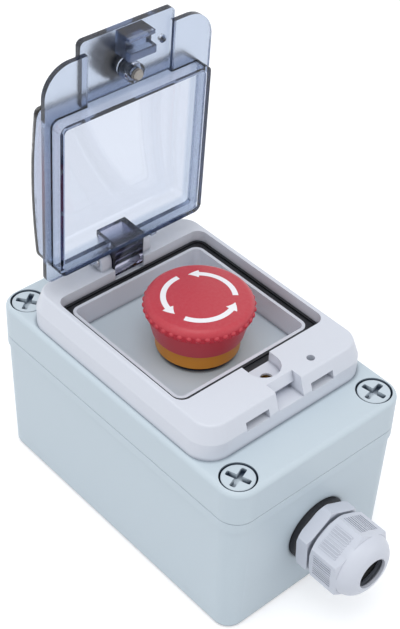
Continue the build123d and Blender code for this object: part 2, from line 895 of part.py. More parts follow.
def latch_washer():
    high = washer_low + washer_thickness
    ring = disc(washer_radius, washer_low, high, 0, insert_y)
    ring = fillet(ring.edges().group_by(Axis.Z)[0], washer_round)
    return ring - disc(stud_radius + run_gap, washer_low - cut_past, high + cut_past, 0, insert_y)


def latch_stud():
    top = knob_low + stud_in_knob
    stud = disc(stud_radius, flange_low - stud_drop, top, 0, insert_y)
    stud = chamfer(stud.edges().group_by(Axis.Z)[0], stud_tip_chamfer)
    return stud + disc(shoulder_radius, shoulder_low, shoulder_low + shoulder_length, 0, insert_y)


def latch_knob():
    top = knob_low + knob_height
    knob = disc(knob_radius, knob_low, top)
    knob = fillet(knob.edges().group_by(Axis.Z)[-1], knob_round)
    grip = disc(knob_lobe_radius, knob_low - cut_past, top + cut_past, knob_radius + knob_lobe_offset)
    knob -= [Rot(0, 0, 360 / knob_lobes * turn) * grip for turn in range(knob_lobes)]
    knob -= Pos(0, 0, top) * Box(3 * knob_radius, knob_slot_width, 2 * knob_slot_depth)
    knob -= disc(stud_radius + bore_gap, knob_low - cut_past, knob_low + stud_in_knob)
    return Pos(0, insert_y, 0) * knob


# Push button

def panel_seal():
    ring = disc(panel_seal_radius, box_height, barrel_base)
    return at_button(ring - disc(barrel_radius + bore_gap, box_height - cut_past, barrel_base + cut_past))


def base_ring():
    flange_top = barrel_base + barrel_flange_height + bore_gap
    top = box_height + ring_height
    neck = barrel_neck_radius + bore_gap
    web_top = flange_top + ring_web
    ring = turned([
        (barrel_flange_radius + bore_gap, barrel_base), (ring_foot_radius, barrel_base),
        (ring_foot_radius, box_height + ring_foot_height), (ring_lip_radius, box_height + ring_lip_height),
        (ring_top_radius, top), (ring_top_radius - ring_wall, top),
        (ring_foot_radius - ring_foot_wall, web_top), (neck, web_top), (neck, flange_top),
        (barrel_flange_radius + bore_gap, flange_top),
    ])
    return at_button(fillet(ring.edges().group_by(Axis.Z)[-1], ring_round))


def operator_barrel():
    flange_top = barrel_base + barrel_flange_height
    bore = barrel_bore_radius
    rod = stem_radius + run_gap
    return at_button(turned([
        (rod, barrel_low), (barrel_radius, barrel_low), (barrel_radius, barrel_base),
        (barrel_flange_radius, barrel_base), (barrel_flange_radius, flange_top),
        (barrel_neck_radius, flange_top), (barrel_neck_radius, box_height + barrel_neck_height),
        (bore, box_height + barrel_neck_height), (bore, barrel_low + barrel_end_wall),
        (rod, barrel_low + barrel_end_wall),
    ]))


def mounting_nut():
    low = lid_under - nut_height
    nut = hexagon(nut_flats, low, lid_under, nut_bevel, 0)
    return at_button(nut - disc(barrel_radius + bore_gap, low - cut_past, lid_under + cut_past))


def push_stem():
    rod_top = head_under - seat_gap
    low = barrel_low - stem_reach
    return at_button(turned([
        (0, low), (stem_radius, low), (stem_radius, stem_collar_low), (stem_collar_radius, stem_collar_low),
        (stem_collar_radius, stem_collar_top), (stem_radius, stem_collar_top), (stem_radius, rod_top),
        (0, rod_top),
    ]))


def head_profile():
    z = box_height
    centre = (0, z + head_top)
    face_edge = (head_face_radius, z + head_top - head_face_drop)
    rim_radius = head_radius - knurl_proud
    rim_edge = (rim_radius, z + head_rim_high - knurl_proud)
    rod = stem_radius + run_gap
    skirt_inner = skirt_top_radius - head_wall
    face = ThreePointArc(centre, (head_face_radius / 2, z + head_top - head_face_drop / 4), face_edge)
    shoulder = (head_radius - head_edge_in, z + head_rim_high + head_edge_up)
    under = Polyline(
        rim_edge, (rim_radius, z + head_rim_low), (skirt_top_radius, z + head_rim_low - head_rim_step),
        (skirt_low_radius, z + skirt_low), (skirt_low_radius - head_wall, z + skirt_low),
        (skirt_inner, z + head_rim_low), (skirt_inner - head_inner_step, head_under),
        (hub_radius, head_under), (hub_radius, z + hub_low), (rod, z + hub_low), (rod, head_under),
        (0, head_under), centre
    )
    return make_face([face, ThreePointArc(face_edge, shoulder, rim_edge), under])


def mushroom_head():
    body = revolve(Plane.XZ * head_profile(), Axis.Z)
    bead = Pos(head_radius - knurl_radius, 0, box_height + head_rim_low + knurl_rise) * Sphere(knurl_radius)
    body += [Rot(0, 0, 360 / knurl_count * turn) * bead for turn in range(knurl_count)]
    return at_button(body)


def head_spring():
    low = barrel_low + barrel_end_wall + bore_gap
    return at_button(coil(spring_radius, spring_wire, low, stem_collar_low - bore_gap, spring_turns))


# Contact block

def contact_holder():
    low = block_top
    high = low + holder_height
    outer = barrel_radius + bore_gap + holder_wall
    body = disc(outer, low, high)
    body = chamfer(body.edges().group_by(Axis.Z)[-1], holder_chamfer)
    plate = RectangleRounded(holder_plate_side, holder_plate_side, holder_corner)
    body += extrude(Pos(0, 0, low) * plate, holder_plate)
    body -= disc(barrel_radius + bore_gap, high - holder_grip, high + cut_past)
    body -= disc(barrel_radius - holder_step, low + holder_plate, high)
    body -= disc(holder_hole_radius, low - cut_past, high)
    return at_button(body)


def contact_block():
    tower = centred(tower_width, tower_length, block_base, block_top)
    shelf = centred(shelf_width, shelf_length, block_base, shelf_top)
    body = chamfer((tower + shelf).edges().filter_by(Axis.Z), block_chamfer)
    body -= centred(cavity_width, cavity_length, block_base - cut_past, block_top - cavity_roof)
    body -= disc(plunger_radius + run_gap, block_base, block_top + cut_past)
    half = strip_width / 2 + bore_gap
    through = tower_width / 2 + cut_past
    body -= slab(-through, through, -half, half, shelf_top, shelf_top + strip_thickness + bore_gap)
    low = shelf_top - terminal_depth - terminal_spare
    screw = disc(terminal_shank_radius + bore_gap, low, shelf_top + cut_past)
    body -= [Pos(side * terminal_x, 0, 0) * screw for side in (-1, 1)]
    return at_button(body)


def contact_base():
    width = cavity_width - 2 * bore_gap
    length = cavity_length - 2 * bore_gap
    return at_button(centred(width, length, block_base, block_base + base_plate))


def fixed_contacts():
    strip = slab(
        strip_inner, shelf_width / 2 - strip_inset, -strip_width / 2, strip_width / 2,
        shelf_top, shelf_top + strip_thickness
    )
    strip_top = shelf_top + strip_thickness
    strip -= disc(terminal_shank_radius + bore_gap, shelf_top - cut_past, strip_top + cut_past, terminal_x, 0)
    return at_button(Compound([strip, mirror(strip, Plane.YZ)]))


def moving_contact():
    high = shelf_top - contact_gap
    low = high - bridge_thickness
    bridge = centred(bridge_width, bridge_length, low, high)
    bridge -= disc(plunger_tip_radius + bore_gap, low - cut_past, high + cut_past)
    return at_button(bridge)


def contact_plunger():
    top = barrel_low - stem_reach - bore_gap
    step = shelf_top - contact_gap
    tip = step - bridge_thickness - plunger_tip_length
    return at_button(turned([
        (0, tip), (plunger_tip_radius, tip), (plunger_tip_radius, step), (plunger_radius, step),
        (plunger_radius, top - plunger_chamfer), (plunger_radius - plunger_chamfer, top), (0, top),
    ]))


def contact_spring():
    low = block_base + base_plate + bore_gap
    high = shelf_top - contact_gap - bridge_thickness - bore_gap
    return at_button(coil(contact_spring_radius, contact_spring_wire, low, high, spring_turns))


def terminal_screws():
    seat = shelf_top + strip_thickness
    head = disc(terminal_head_radius, seat, seat + terminal_head_height)
    head = fillet(head.edges().group_by(Axis.Z)[-1], terminal_round)
    slot = Box(4 * terminal_head_radius, terminal_slot_width, 2 * terminal_slot_depth)
    head -= Pos(0, 0, seat + terminal_head_height) * slot
    screw = head + disc(terminal_shank_radius, shelf_top - terminal_depth, seat + join)
    return at_button(Compound([Pos(side * terminal_x, 0, 0) * screw for side in (-1, 1)]))


# Cable gland, made along +Z from the outer face of the end wall

def gland_body():
    hexed = hexagon(gland_hex_flats, hex_base, hex_base + gland_hex_height, gland_bevel, gland_hex_angle)
    body = hexed + disc(gland_thread_radius, -gland_inner_length, hex_base + cut_past)
    body += disc(gland_neck_radius, hex_base, neck_top)
    body -= disc(gland_bore_radius, -gland_inner_length - cut_past, neck_top + cut_past)
    body -= disc(claw_outer + run_gap, claw_socket, neck_top + cut_past)
    return on_gland_axis(body)


def gland_washer():
    ring = disc(gland_washer_radius, 0, gland_washer_thickness)
    ring = fillet(ring.edges().group_by(Axis.Z)[-1], gland_washer_round)
    bore = disc(gland_thread_radius + bore_gap, -cut_past, gland_washer_thickness + cut_past)
    return on_gland_axis(ring - bore)


def gland_locknut():
    face = gland_seat - (box_length / 2 - wall - gland_pad_depth)
    low = -face - gland_locknut_height
    nut = hexagon(gland_locknut_flats, low, -face, gland_bevel, 0)
    return on_gland_axis(nut - disc(gland_thread_radius + bore_gap, low - cut_past, cut_past - face))


def gland_dome_nut():
    """The compression nut: a ribbed hexagon that closes into a round dome."""
    low = nut_base
    hex_top = low + gland_nut_hex_length
    dome_base = hex_top + gland_dome_start
    hexed = hexagon(gland_nut_flats, low, hex_top + gland_hex_fade, gland_nut_bevel, gland_hex_angle)
    rim = (gland_nut_radius, dome_base)
    mouth = (gland_nut_mouth, nut_top)
    bulge = (gland_nut_radius - gland_dome_bulge, nut_top - gland_dome_bulge)
    dome = revolve(Plane.XZ * make_face([
        Polyline(mouth, (0, nut_top), (0, low + join), (gland_nut_radius, low + join), rim),
        ThreePointArc(rim, bulge, mouth),
    ]), Axis.Z)
    body = hexed + dome
    body += gland_ribs(low + gland_rib_start, hex_top)
    body -= disc(gland_nut_bore, low - cut_past, hex_top)
    body -= turned([
        (0, hex_top - join), (gland_nut_bore, hex_top - join), (gland_nut_bore, hex_top),
        (claw_outer + seat_gap, nut_top - gland_cone_end), (gland_nut_mouth, nut_top - gland_mouth_length),
        (gland_nut_mouth, nut_top + cut_past), (0, nut_top + cut_past),
    ])
    return on_gland_axis(body)


def gland_ribs(low, high):
    """Fine grip ribs along the nut on each of its six flats."""
    first = -(gland_rib_count - 1) / 2 * gland_rib_pitch
    bar = Box(2 * gland_rib_proud, gland_rib_width, high - low)
    ribs = []
    for side in range(6):
        turn = Rot(0, 0, gland_hex_angle + 30 + 60 * side)
        for rib in range(gland_rib_count):
            place = Pos(gland_nut_flats / 2, first + rib * gland_rib_pitch, (low + high) / 2)
            ribs.append(turn * place * bar)
    return ribs


def gland_claw():
    """The slotted collar that the nut's cone closes on the grommet."""
    low = claw_socket + bore_gap
    top = low + claw_reach
    ring = disc(claw_outer, low, top) - disc(grommet_radius + bore_gap, low - cut_past, top + cut_past)
    ring = chamfer(ring.edges().group_by(Axis.Z)[-1].sort_by(SortBy.LENGTH)[-1], claw_chamfer)
    slot = slab(0, claw_outer + cut_past, -claw_slot / 2, claw_slot / 2, low + claw_base, top + cut_past)
    ring -= [Rot(0, 0, 360 / claw_fingers * turn) * slot for turn in range(claw_fingers)]
    return on_gland_axis(ring)


def gland_grommet():
    top = nut_top - grommet_inset
    low = top - grommet_length
    ring = disc(grommet_radius, low, top) - disc(grommet_bore_radius, low - cut_past, top + cut_past)
    return on_gland_axis(chamfer(ring.edges().group_by(Axis.Z)[-1], grommet_chamfer))


OUTPUTS = {
    "base_box": base_box,
    "lid": lid,
    "lid_gasket": lid_gasket,
    "lid_screws": lid_screws,
    "screw_inserts": screw_inserts,
    "cover_frame": cover_frame,
    "frame_seal": frame_seal,
    "cover_gasket": cover_gasket,
    "frame_screws": frame_screws,
    "latch_insert": latch_insert,
    "hinge_pin": hinge_pin,
    "clear_cover": lambda: cover_opened(clear_cover()),
    "hinge_clip": lambda: cover_opened(hinge_clip()),
    "latch_retainer": lambda: cover_opened(latch_retainer()),
    "latch_washer": lambda: cover_opened(latch_washer()),
    "latch_stud": lambda: cover_opened(latch_stud()),
    "latch_knob": lambda: cover_opened(latch_knob()),
    "panel_seal": panel_seal,
    "base_ring": base_ring,
    "operator_barrel": operator_barrel,
    "mounting_nut": mounting_nut,
    "push_stem": push_stem,
    "mushroom_head": mushroom_head,
    "head_spring": head_spring,
    "contact_holder": contact_holder,
    "contact_block": contact_block,
    "contact_base": contact_base,
    "fixed_contacts": fixed_contacts,
    "moving_contact": moving_contact,
    "contact_plunger": contact_plunger,
    "contact_spring": contact_spring,
    "terminal_screws": terminal_screws,
    "gland_body": gland_body,
    "gland_washer": gland_washer,
    "gland_locknut": gland_locknut,
    "gland_dome_nut": gland_dome_nut,
    "gland_claw": gland_claw,
    "gland_grommet": gland_grommet,
}

os.makedirs("parts", exist_ok=True)
for name, make in OUTPUTS.items():
    export_step(make(), "parts/" + name + ".step")
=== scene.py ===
import json
import math
import bpy
from mathutils import Matrix, Vector


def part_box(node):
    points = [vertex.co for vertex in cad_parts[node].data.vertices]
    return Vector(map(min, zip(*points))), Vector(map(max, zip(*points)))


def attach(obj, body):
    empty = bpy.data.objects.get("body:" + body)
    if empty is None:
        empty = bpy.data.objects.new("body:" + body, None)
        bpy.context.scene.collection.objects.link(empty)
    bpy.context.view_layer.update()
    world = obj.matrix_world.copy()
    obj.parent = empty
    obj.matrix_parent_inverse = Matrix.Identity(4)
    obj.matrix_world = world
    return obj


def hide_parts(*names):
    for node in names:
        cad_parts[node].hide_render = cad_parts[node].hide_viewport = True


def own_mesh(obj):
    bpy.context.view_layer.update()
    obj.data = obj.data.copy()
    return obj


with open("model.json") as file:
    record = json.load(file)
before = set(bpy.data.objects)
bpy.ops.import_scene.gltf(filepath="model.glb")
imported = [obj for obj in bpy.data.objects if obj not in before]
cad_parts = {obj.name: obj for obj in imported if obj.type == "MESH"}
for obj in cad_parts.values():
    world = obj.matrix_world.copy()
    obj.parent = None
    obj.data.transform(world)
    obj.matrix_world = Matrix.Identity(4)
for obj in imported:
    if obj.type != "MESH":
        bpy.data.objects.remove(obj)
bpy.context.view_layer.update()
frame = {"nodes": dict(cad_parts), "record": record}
mm = 0.001
print("frame loaded,", len(frame["nodes"]), "nodes")


# small helpers

displayCurve = {"full": 255, "foot": 0.04045, "slope": 12.92, "lift": 0.055, "power": 2.4}


def tone(red, green, blue):
    # a colour written as a display shows it, turned into the light that it stands for
    def straight(level, curve):
        share = level / curve["full"]
        if share <= curve["foot"]:
            return share / curve["slope"]
        return ((share + curve["lift"]) / (1 + curve["lift"])) ** curve["power"]
    return tuple(straight(level, displayCurve) for level in (red, green, blue)) + (1.0,)


def node(name):
    return frame["nodes"][name]


def jointNamed(name):
    return next(joint for joint in frame["record"]["behaviour"]["joints"] if joint["name"] == name)


def coverAxes():
    # along the open cover from its hinge, and across it: the joint's high limit is the shut cover
    swing = math.radians(jointNamed("cover_hinge")["range_deg"][1])
    along = Vector((0, -math.cos(swing), math.sin(swing)))
    across = Vector((0, math.sin(swing), math.cos(swing)))
    return along, across


def deselect():
    if bpy.context.object and bpy.context.object.mode != "OBJECT":
        bpy.ops.object.mode_set(mode="OBJECT")
    bpy.ops.object.select_all(action="DESELECT")


def takeUp(piece):
    # from here on the operators act on this piece alone
    deselect()
    bpy.context.view_layer.objects.active = piece
    piece.select_set(True)


def copyPiece(source, name):
    twin = bpy.data.objects.new(name, source.data.copy())
    bpy.context.collection.objects.link(twin)
    return twin


def editAll():
    bpy.ops.object.mode_set(mode="EDIT")
    bpy.ops.mesh.select_all(action="SELECT")


def chooseVerts(piece, wanted):
    bpy.ops.object.mode_set(mode="EDIT")
    bpy.ops.mesh.select_mode(type="VERT")
    bpy.ops.mesh.select_all(action="DESELECT")
    bpy.ops.object.mode_set(mode="OBJECT")
    for vert in piece.data.vertices:
        vert.select = wanted(vert.co)
    bpy.ops.object.mode_set(mode="EDIT")


def selectedMiddle(piece):
    piece.update_from_editmode()
    places = [vert.co.copy() for vert in piece.data.vertices if vert.select]
    return sum(places, Vector()) / len(places)


def applyAll(piece):
    for modifier in list(piece.modifiers):
        bpy.ops.object.modifier_apply(modifier=modifier.name)


# nodes of materials: a socket is fed by another socket's link or by a plain value

def feed(tree, socket, value):
    if isinstance(value, bpy.types.NodeSocket):
        tree.links.new(value, socket)
    else:
        socket.default_value = value


def mathNode(tree, operation, *values, clamp=False):
    made = tree.nodes.new("ShaderNodeMath")
    made.operation = operation
    made.use_clamp = clamp
    for socket, value in zip(made.inputs, values):
        feed(tree, socket, value)
    return made.outputs[0]


def vectorNode(tree, operation, first, second):
    made = tree.nodes.new("ShaderNodeVectorMath")
    made.operation = operation
    feed(tree, made.inputs[0], first)
    feed(tree, made.inputs[1], second)
    return made.outputs["Value" if operation == "DOT_PRODUCT" else "Vector"]


def noiseNode(tree, place, scale, detail, roughness=0.5):
    made = tree.nodes.new("ShaderNodeTexNoise")
    for label, value in (("Vector", place), ("Scale", scale), ("Detail", detail), ("Roughness", roughness)):
        feed(tree, made.inputs[label], value)
    return made.outputs["Fac"]


def mixNode(tree, blend, factor, under, over):
    made = tree.nodes.new("ShaderNodeMix")
    made.data_type = "RGBA"
    made.blend_type = blend
    for label, value in (("Factor", factor), ("A", under), ("B", over)):
        feed(tree, made.inputs[label], value)
    return made.outputs["Result"]


def shownRays(tree):
    # one for rays that show a surface straight, mirrored or through plastic, and zero for those it lights by
    rays = tree.nodes.new("ShaderNodeLightPath").outputs
    mirrored = mathNode(tree, "MAXIMUM", rays["Is Glossy Ray"], rays["Is Transmission Ray"])
    return mathNode(tree, "MAXIMUM", rays["Is Camera Ray"], mirrored)


# camera, fitted to the picture's own perspective

camera = {
    "place": (-265.27, -282.89, 414.93),
    "turn": -43.29, "tilt": 40.47, "roll": 2.78,
    "focalPixels": 1457.56, "frameHeight": 629, "sensor": 36.0, "nearest": 10.0,
}


def placeCamera(look):
    turn, tilt, roll = (math.radians(look[key]) for key in ("turn", "tilt", "roll"))
    back = Vector((math.sin(turn) * math.cos(tilt), -math.cos(turn) * math.cos(tilt), math.sin(tilt)))
    right = (-back).cross(Vector((0, 0, 1))).normalized()
    up = right.cross(-back)
    rolledRight = right * math.cos(roll) + up * math.sin(roll)
    rolledUp = up * math.cos(roll) - right * math.sin(roll)
    bpy.ops.object.camera_add()
    seen = bpy.context.object
    seen.name = "studioCamera"
    seen.data.sensor_fit = "VERTICAL"
    seen.data.sensor_height = look["sensor"]
    seen.data.lens = look["sensor"] * look["focalPixels"] / look["frameHeight"]
    seen.data.clip_start = look["nearest"] * mm
    axes = Matrix((rolledRight, rolledUp, back)).transposed().to_4x4()
    seen.matrix_world = Matrix.Translation(Vector(look["place"]) * mm) @ axes
    bpy.context.scene.camera = seen


deselect()
placeCamera(camera)
print("camera placed")


# light, floor and backdrop, in metres

lampAim = (0.0, 0.0, 0.05)
lamps = {
    "key": {"place": (-0.25, -0.15, 1.2), "size": 0.9, "watts": 4.0},
    "rear": {"place": (-0.2, 1.0, 0.7), "size": 0.8, "watts": 1.6},
    "left": {"place": (-1.0, -0.1, 0.6), "size": 0.8, "watts": 1.2},
    "front": {"place": (0.5, -0.9, 0.5), "size": 0.8, "watts": 1.0},
}
surround = {
    "sky": (0.97, 0.985, 1.0, 1.0), "skyStrength": 0.78,
    "backdrop": (1.0, 1.0, 1.0, 1.0), "backdropStrength": 1.0,
}
floorLook = {
    "size": 6.0, "colour": tone(214, 215, 217), "roughness": 0.9, "glow": (1.0, 1.0, 1.0, 1.0), "lift": 0.45,
}


def addLamps(looks, aim):
    for name, look in looks.items():
        bpy.ops.object.light_add(type="AREA", location=look["place"])
        lamp = bpy.context.object
        lamp.name = name + "Light"
        lamp.data.shape = "DISK"
        lamp.data.size = look["size"]
        lamp.data.energy = look["watts"]
        lamp.rotation_euler = (Vector(aim) - lamp.location).to_track_quat("-Z", "Y").to_euler()


def paleWorld(look):
    # an even sky lights the object, and a plain white shows behind it
    world = bpy.data.worlds.new("paleSurround")
    bpy.context.scene.world = world
    world.use_nodes = True
    tree = world.node_tree
    sky = tree.nodes["Background"]
    sky.inputs["Color"].default_value = look["sky"]
    sky.inputs["Strength"].default_value = look["skyStrength"]
    backdrop = tree.nodes.new("ShaderNodeBackground")
    backdrop.inputs["Color"].default_value = look["backdrop"]
    backdrop.inputs["Strength"].default_value = look["backdropStrength"]
    mix = tree.nodes.new("ShaderNodeMixShader")
    for socket, source in zip(mix.inputs, (shownRays(tree), sky.outputs[0], backdrop.outputs[0])):
        feed(tree, socket, source)
    feed(tree, tree.nodes["World Output"].inputs["Surface"], mix.outputs[0])


def addFloor(look):
    deselect()
    bpy.ops.mesh.primitive_plane_add(size=look["size"])
    ground = bpy.context.object
    ground.name = "studioFloor"
    paint = bpy.data.materials.new("floorPaper")
    paint.use_nodes = True
    tree = paint.node_tree
    shader = tree.nodes["Principled BSDF"]
    shader.inputs["Base Color"].default_value = look["colour"]
    shader.inputs["Roughness"].default_value = look["roughness"]
    shader.inputs["Emission Color"].default_value = look["glow"]
    # the glow is only for the camera and for what mirrors or shows the floor, so it lights nothing
    feed(tree, shader.inputs["Emission Strength"], mathNode(tree, "MULTIPLY", shownRays(tree), look["lift"]))
    ground.data.materials.append(paint)


addLamps(lamps, lampAim)
paleWorld(surround)
addFloor(floorLook)
bpy.context.scene.view_settings.view_transform = "Standard"
print("light, floor and backdrop placed")


# effects that several finishes share

socketKinds = {"number": "NodeSocketFloat", "colour": "NodeSocketColor"}
mould = {"fineDetail": 3.0, "fineRoughness": 0.65, "broadScale": 46.0, "broadDetail": 1.0}
# the cloud and the specks are tone drift and dust; the dark colour and the corner settings paint shade into
# seams, slots and corners
toneDustAndShadeLook = {
    "cloudScale": 22.0, "cloudDetail": 4.0, "cloudMiddle": 0.5, "speckScale": 900.0, "speckDetail": 2.0,
    "dust": tone(226, 228, 230), "paintedShadeColour": tone(70, 84, 104),
    "cornerReach": 2.2, "cornerSamples": 12, "unshadedAt": 0.85, "fullShadeAt": 0.15,
}
etching = {
    "plateMiddle": -0.3, "plateHalf": 2.35, "blockFromHinge": 84.0, "blockBelow": -2.5,
    "hazeScale": 60.0, "hazeDetail": 3.0, "hazeGain": 2.0,
}


def newGroup(name, wanted, given):
    group = bpy.data.node_groups.new(name, "ShaderNodeTree")
    for way, sockets in (("INPUT", wanted), ("OUTPUT", given)):
        for label, kind in sockets.items():
            group.interface.new_socket(name=label, in_out=way, socket_type=socketKinds[kind])
    return group, group.nodes.new("NodeGroupInput").outputs, group.nodes.new("NodeGroupOutput").inputs


def makeMouldedSkin(look):
    # the fine grain of a mould, with the faint flow that large mouldings keep
    group, taken, out = newGroup(
        "mouldedSkin", {"Scale": "number", "Grain": "number", "Ripple": "number"}, {"Height": "number"})
    place = group.nodes.new("ShaderNodeTexCoord").outputs["Object"]
    fine = noiseNode(group, place, taken["Scale"], look["fineDetail"], look["fineRoughness"])
    broad = noiseNode(group, place, look["broadScale"], look["broadDetail"])
    grain = mathNode(group, "MULTIPLY", fine, taken["Grain"])
    feed(group, out["Height"], mathNode(group, "MULTIPLY_ADD", broad, taken["Ripple"], grain))
    return group


def makeToneDustAndShade(look):
    # a colour that drifts over a moulding, dust on what looks up, painted shade in corners, and uneven gloss
    group, taken, out = newGroup("toneDustAndShade", {
        "Color": "colour", "Drift": "number", "Dust": "number", "Roughness": "number",
        "Unevenness": "number", "Corner Shade": "number",
    }, {"Color": "colour", "Roughness": "number"})
    place = group.nodes.new("ShaderNodeTexCoord").outputs["Object"]
    cloud = noiseNode(group, place, look["cloudScale"], look["cloudDetail"])
    centred = mathNode(group, "SUBTRACT", cloud, look["cloudMiddle"])
    shade = group.nodes.new("ShaderNodeHueSaturation")
    feed(group, shade.inputs["Color"], taken["Color"])
    feed(group, shade.inputs["Value"], mathNode(group, "MULTIPLY_ADD", centred, taken["Drift"], 1.0))
    # dust lies in specks on the faces that look up
    facing = group.nodes.new("ShaderNodeSeparateXYZ")
    feed(group, facing.inputs[0], group.nodes.new("ShaderNodeNewGeometry").outputs["Normal"])
    upward = mathNode(group, "MULTIPLY", facing.outputs["Z"], taken["Dust"], clamp=True)
    speck = noiseNode(group, place, look["speckScale"], look["speckDetail"])
    dusty = mixNode(
        group, "MIX", mathNode(group, "MULTIPLY", upward, speck), shade.outputs["Color"], look["dust"])
    # painted shade: the colour is darkened towards a dark blue in seams, slots and corners, where ambient
    # occlusion finds other surfaces close
    corner = group.nodes.new("ShaderNodeAmbientOcclusion")
    corner.samples = look["cornerSamples"]
    corner.inputs["Distance"].default_value = look["cornerReach"] * mm
    closed = group.nodes.new("ShaderNodeMapRange")
    feed(group, closed.inputs["Value"], corner.outputs["AO"])
    feed(group, closed.inputs["From Min"], look["unshadedAt"])
    feed(group, closed.inputs["From Max"], look["fullShadeAt"])
    shadeAmount = mathNode(group, "MULTIPLY", closed.outputs["Result"], taken["Corner Shade"], clamp=True)
    feed(group, out["Color"], mixNode(group, "MULTIPLY", shadeAmount, dusty, look["paintedShadeColour"]))
    gloss = mathNode(group, "MULTIPLY_ADD", centred, taken["Unevenness"], taken["Roughness"])
    feed(group, out["Roughness"], gloss)
    return group


def makeSmokedTone(look):
    # the flange and tab form one plate, which is etched matt like the snap block, and the rest is polished
    group, taken, out = newGroup("smokedTone", {
        "Clear": "colour", "Matt": "colour", "Polish": "number", "Matt Roughness": "number",
    }, {"Color": "colour", "Roughness": "number"})
    place = group.nodes.new("ShaderNodeTexCoord").outputs["Object"]
    fromHinge = vectorNode(group, "SUBTRACT", place, jointNamed("cover_hinge")["pos_m"])
    along, across = (vectorNode(group, "DOT_PRODUCT", fromHinge, axis) for axis in coverAxes())
    inPlate = mathNode(group, "COMPARE", across, look["plateMiddle"] * mm, look["plateHalf"] * mm)
    pastDome = mathNode(group, "GREATER_THAN", along, look["blockFromHinge"] * mm)
    underTab = mathNode(group, "LESS_THAN", across, look["blockBelow"] * mm)
    etched = mathNode(group, "MAXIMUM", inPlate, mathNode(group, "MULTIPLY", pastDome, underTab))
    feed(group, out["Color"], mixNode(group, "MIX", inPlate, taken["Clear"], taken["Matt"]))
    haze = noiseNode(group, place, look["hazeScale"], look["hazeDetail"])
    gain = mathNode(group, "MULTIPLY", haze, look["hazeGain"])
    polish = mathNode(group, "MULTIPLY", gain, taken["Polish"])
    feed(group, out["Roughness"], mathNode(group, "MULTIPLY_ADD", etched, taken["Matt Roughness"], polish))
    return group


mouldedSkin = makeMouldedSkin(mould)
toneDustAndShade = makeToneDustAndShade(toneDustAndShadeLook)
smokedTone = makeSmokedTone(etching)
print("shared effects made")


# finishes: plastics, rubbers, metals and the arrows' paint

plastic = {"ior": 1.5, "metallic": 0.0, "grainScale": 2600.0, "grain": 0.5, "ripple": 0.3, "reliefDepth": 0.4}
rubber = {
    **plastic, "ior": 1.45, "drift": 0.1, "unevenness": 0.12,
    "grainScale": 2000.0, "grain": 0.8, "ripple": 0.5, "relief": 0.3,
}
metal = {
    **plastic, "metallic": 1.0, "dust": 0.0,
    "grainScale": 2400.0, "grain": 0.3, "ripple": 0.2, "relief": 0.12, "reliefDepth": 0.3,
}
# each finish's corner weight sets how much painted shade its seams, slots and corners get
finishes = {
    "boxPlastic": {
        **plastic, "colour": tone(194, 207, 216), "drift": 0.03, "dust": 0.06, "roughness": 0.42,
        "unevenness": 0.08, "cornerShade": 1.4, "ripple": 0.35, "relief": 0.16,
    },
    "screwPlastic": {
        **plastic, "colour": tone(196, 208, 217), "drift": 0.03, "dust": 0.05, "roughness": 0.4,
        "unevenness": 0.08, "cornerShade": 1.7, "relief": 0.14,
    },
    "framePlastic": {
        **plastic, "colour": tone(210, 214, 224), "drift": 0.02, "dust": 0.05, "roughness": 0.36,
        "unevenness": 0.06, "cornerShade": 0.8, "grainScale": 3200.0, "grain": 0.35, "relief": 0.12,
    },
    "glandPlastic": {
        **plastic, "colour": tone(206, 210, 221), "drift": 0.03, "dust": 0.05, "roughness": 0.38,
        "unevenness": 0.08, "cornerShade": 0.7, "grainScale": 3000.0, "grain": 0.4, "relief": 0.14,
    },
    "redPlastic": {
        **plastic, "colour": tone(187, 44, 60), "drift": 0.04, "dust": 0.05, "roughness": 0.38,
        "unevenness": 0.08, "cornerShade": 0.5, "grainScale": 3400.0, "ripple": 0.25, "relief": 0.18,
    },
    "orangePlastic": {
        **plastic, "colour": tone(206, 132, 24), "drift": 0.05, "dust": 0.04, "roughness": 0.4,
        "unevenness": 0.08, "cornerShade": 0.6, "grainScale": 3000.0, "grain": 0.4, "relief": 0.14,
    },
    "darkPlastic": {
        **plastic, "colour": tone(46, 46, 56), "drift": 0.08, "dust": 0.05, "roughness": 0.3,
        "unevenness": 0.08, "cornerShade": 0.4, "grainScale": 3000.0, "grain": 0.4, "relief": 0.12,
    },
    "blackPlastic": {
        **plastic, "colour": tone(30, 30, 33), "drift": 0.08, "dust": 0.06, "roughness": 0.5,
        "unevenness": 0.1, "cornerShade": 0.3, "grain": 0.6, "relief": 0.2,
    },
    "contactRed": {
        **plastic, "colour": tone(168, 40, 40), "drift": 0.06, "dust": 0.05, "roughness": 0.45,
        "unevenness": 0.08, "cornerShade": 0.5, "relief": 0.16,
    },
    "sealRubber": {**rubber, "colour": tone(15, 18, 27), "dust": 0.03, "roughness": 0.62, "cornerShade": 0.5},
    "boreRubber": {**rubber, "colour": tone(10, 11, 13), "dust": 0.0, "roughness": 0.7, "cornerShade": 0.6},
    "brassMetal": {
        **metal, "colour": tone(214, 176, 102), "drift": 0.08, "roughness": 0.28,
        "unevenness": 0.12, "cornerShade": 0.7,
    },
    "steelMetal": {
        **metal, "colour": tone(196, 198, 202), "drift": 0.06, "roughness": 0.26,
        "unevenness": 0.12, "cornerShade": 0.7,
    },
    "studMetal": {
        **metal, "colour": tone(150, 146, 142), "drift": 0.1, "roughness": 0.36,
        "unevenness": 0.14, "cornerShade": 1.0,
    },
    "arrowPaint": {
        **plastic, "colour": tone(240, 238, 242), "drift": 0.03, "dust": 0.0, "roughness": 0.4,
        "unevenness": 0.06, "cornerShade": 0.0,
        "grainScale": 3400.0, "ripple": 0.2, "relief": 0.14, "reliefDepth": 0.3,
    },
}
smoked = {
    "ior": 1.5, "transmission": 1.0, "grainScale": 400.0, "grain": 0.05, "ripple": 0.5, "reliefDepth": 0.6,
}
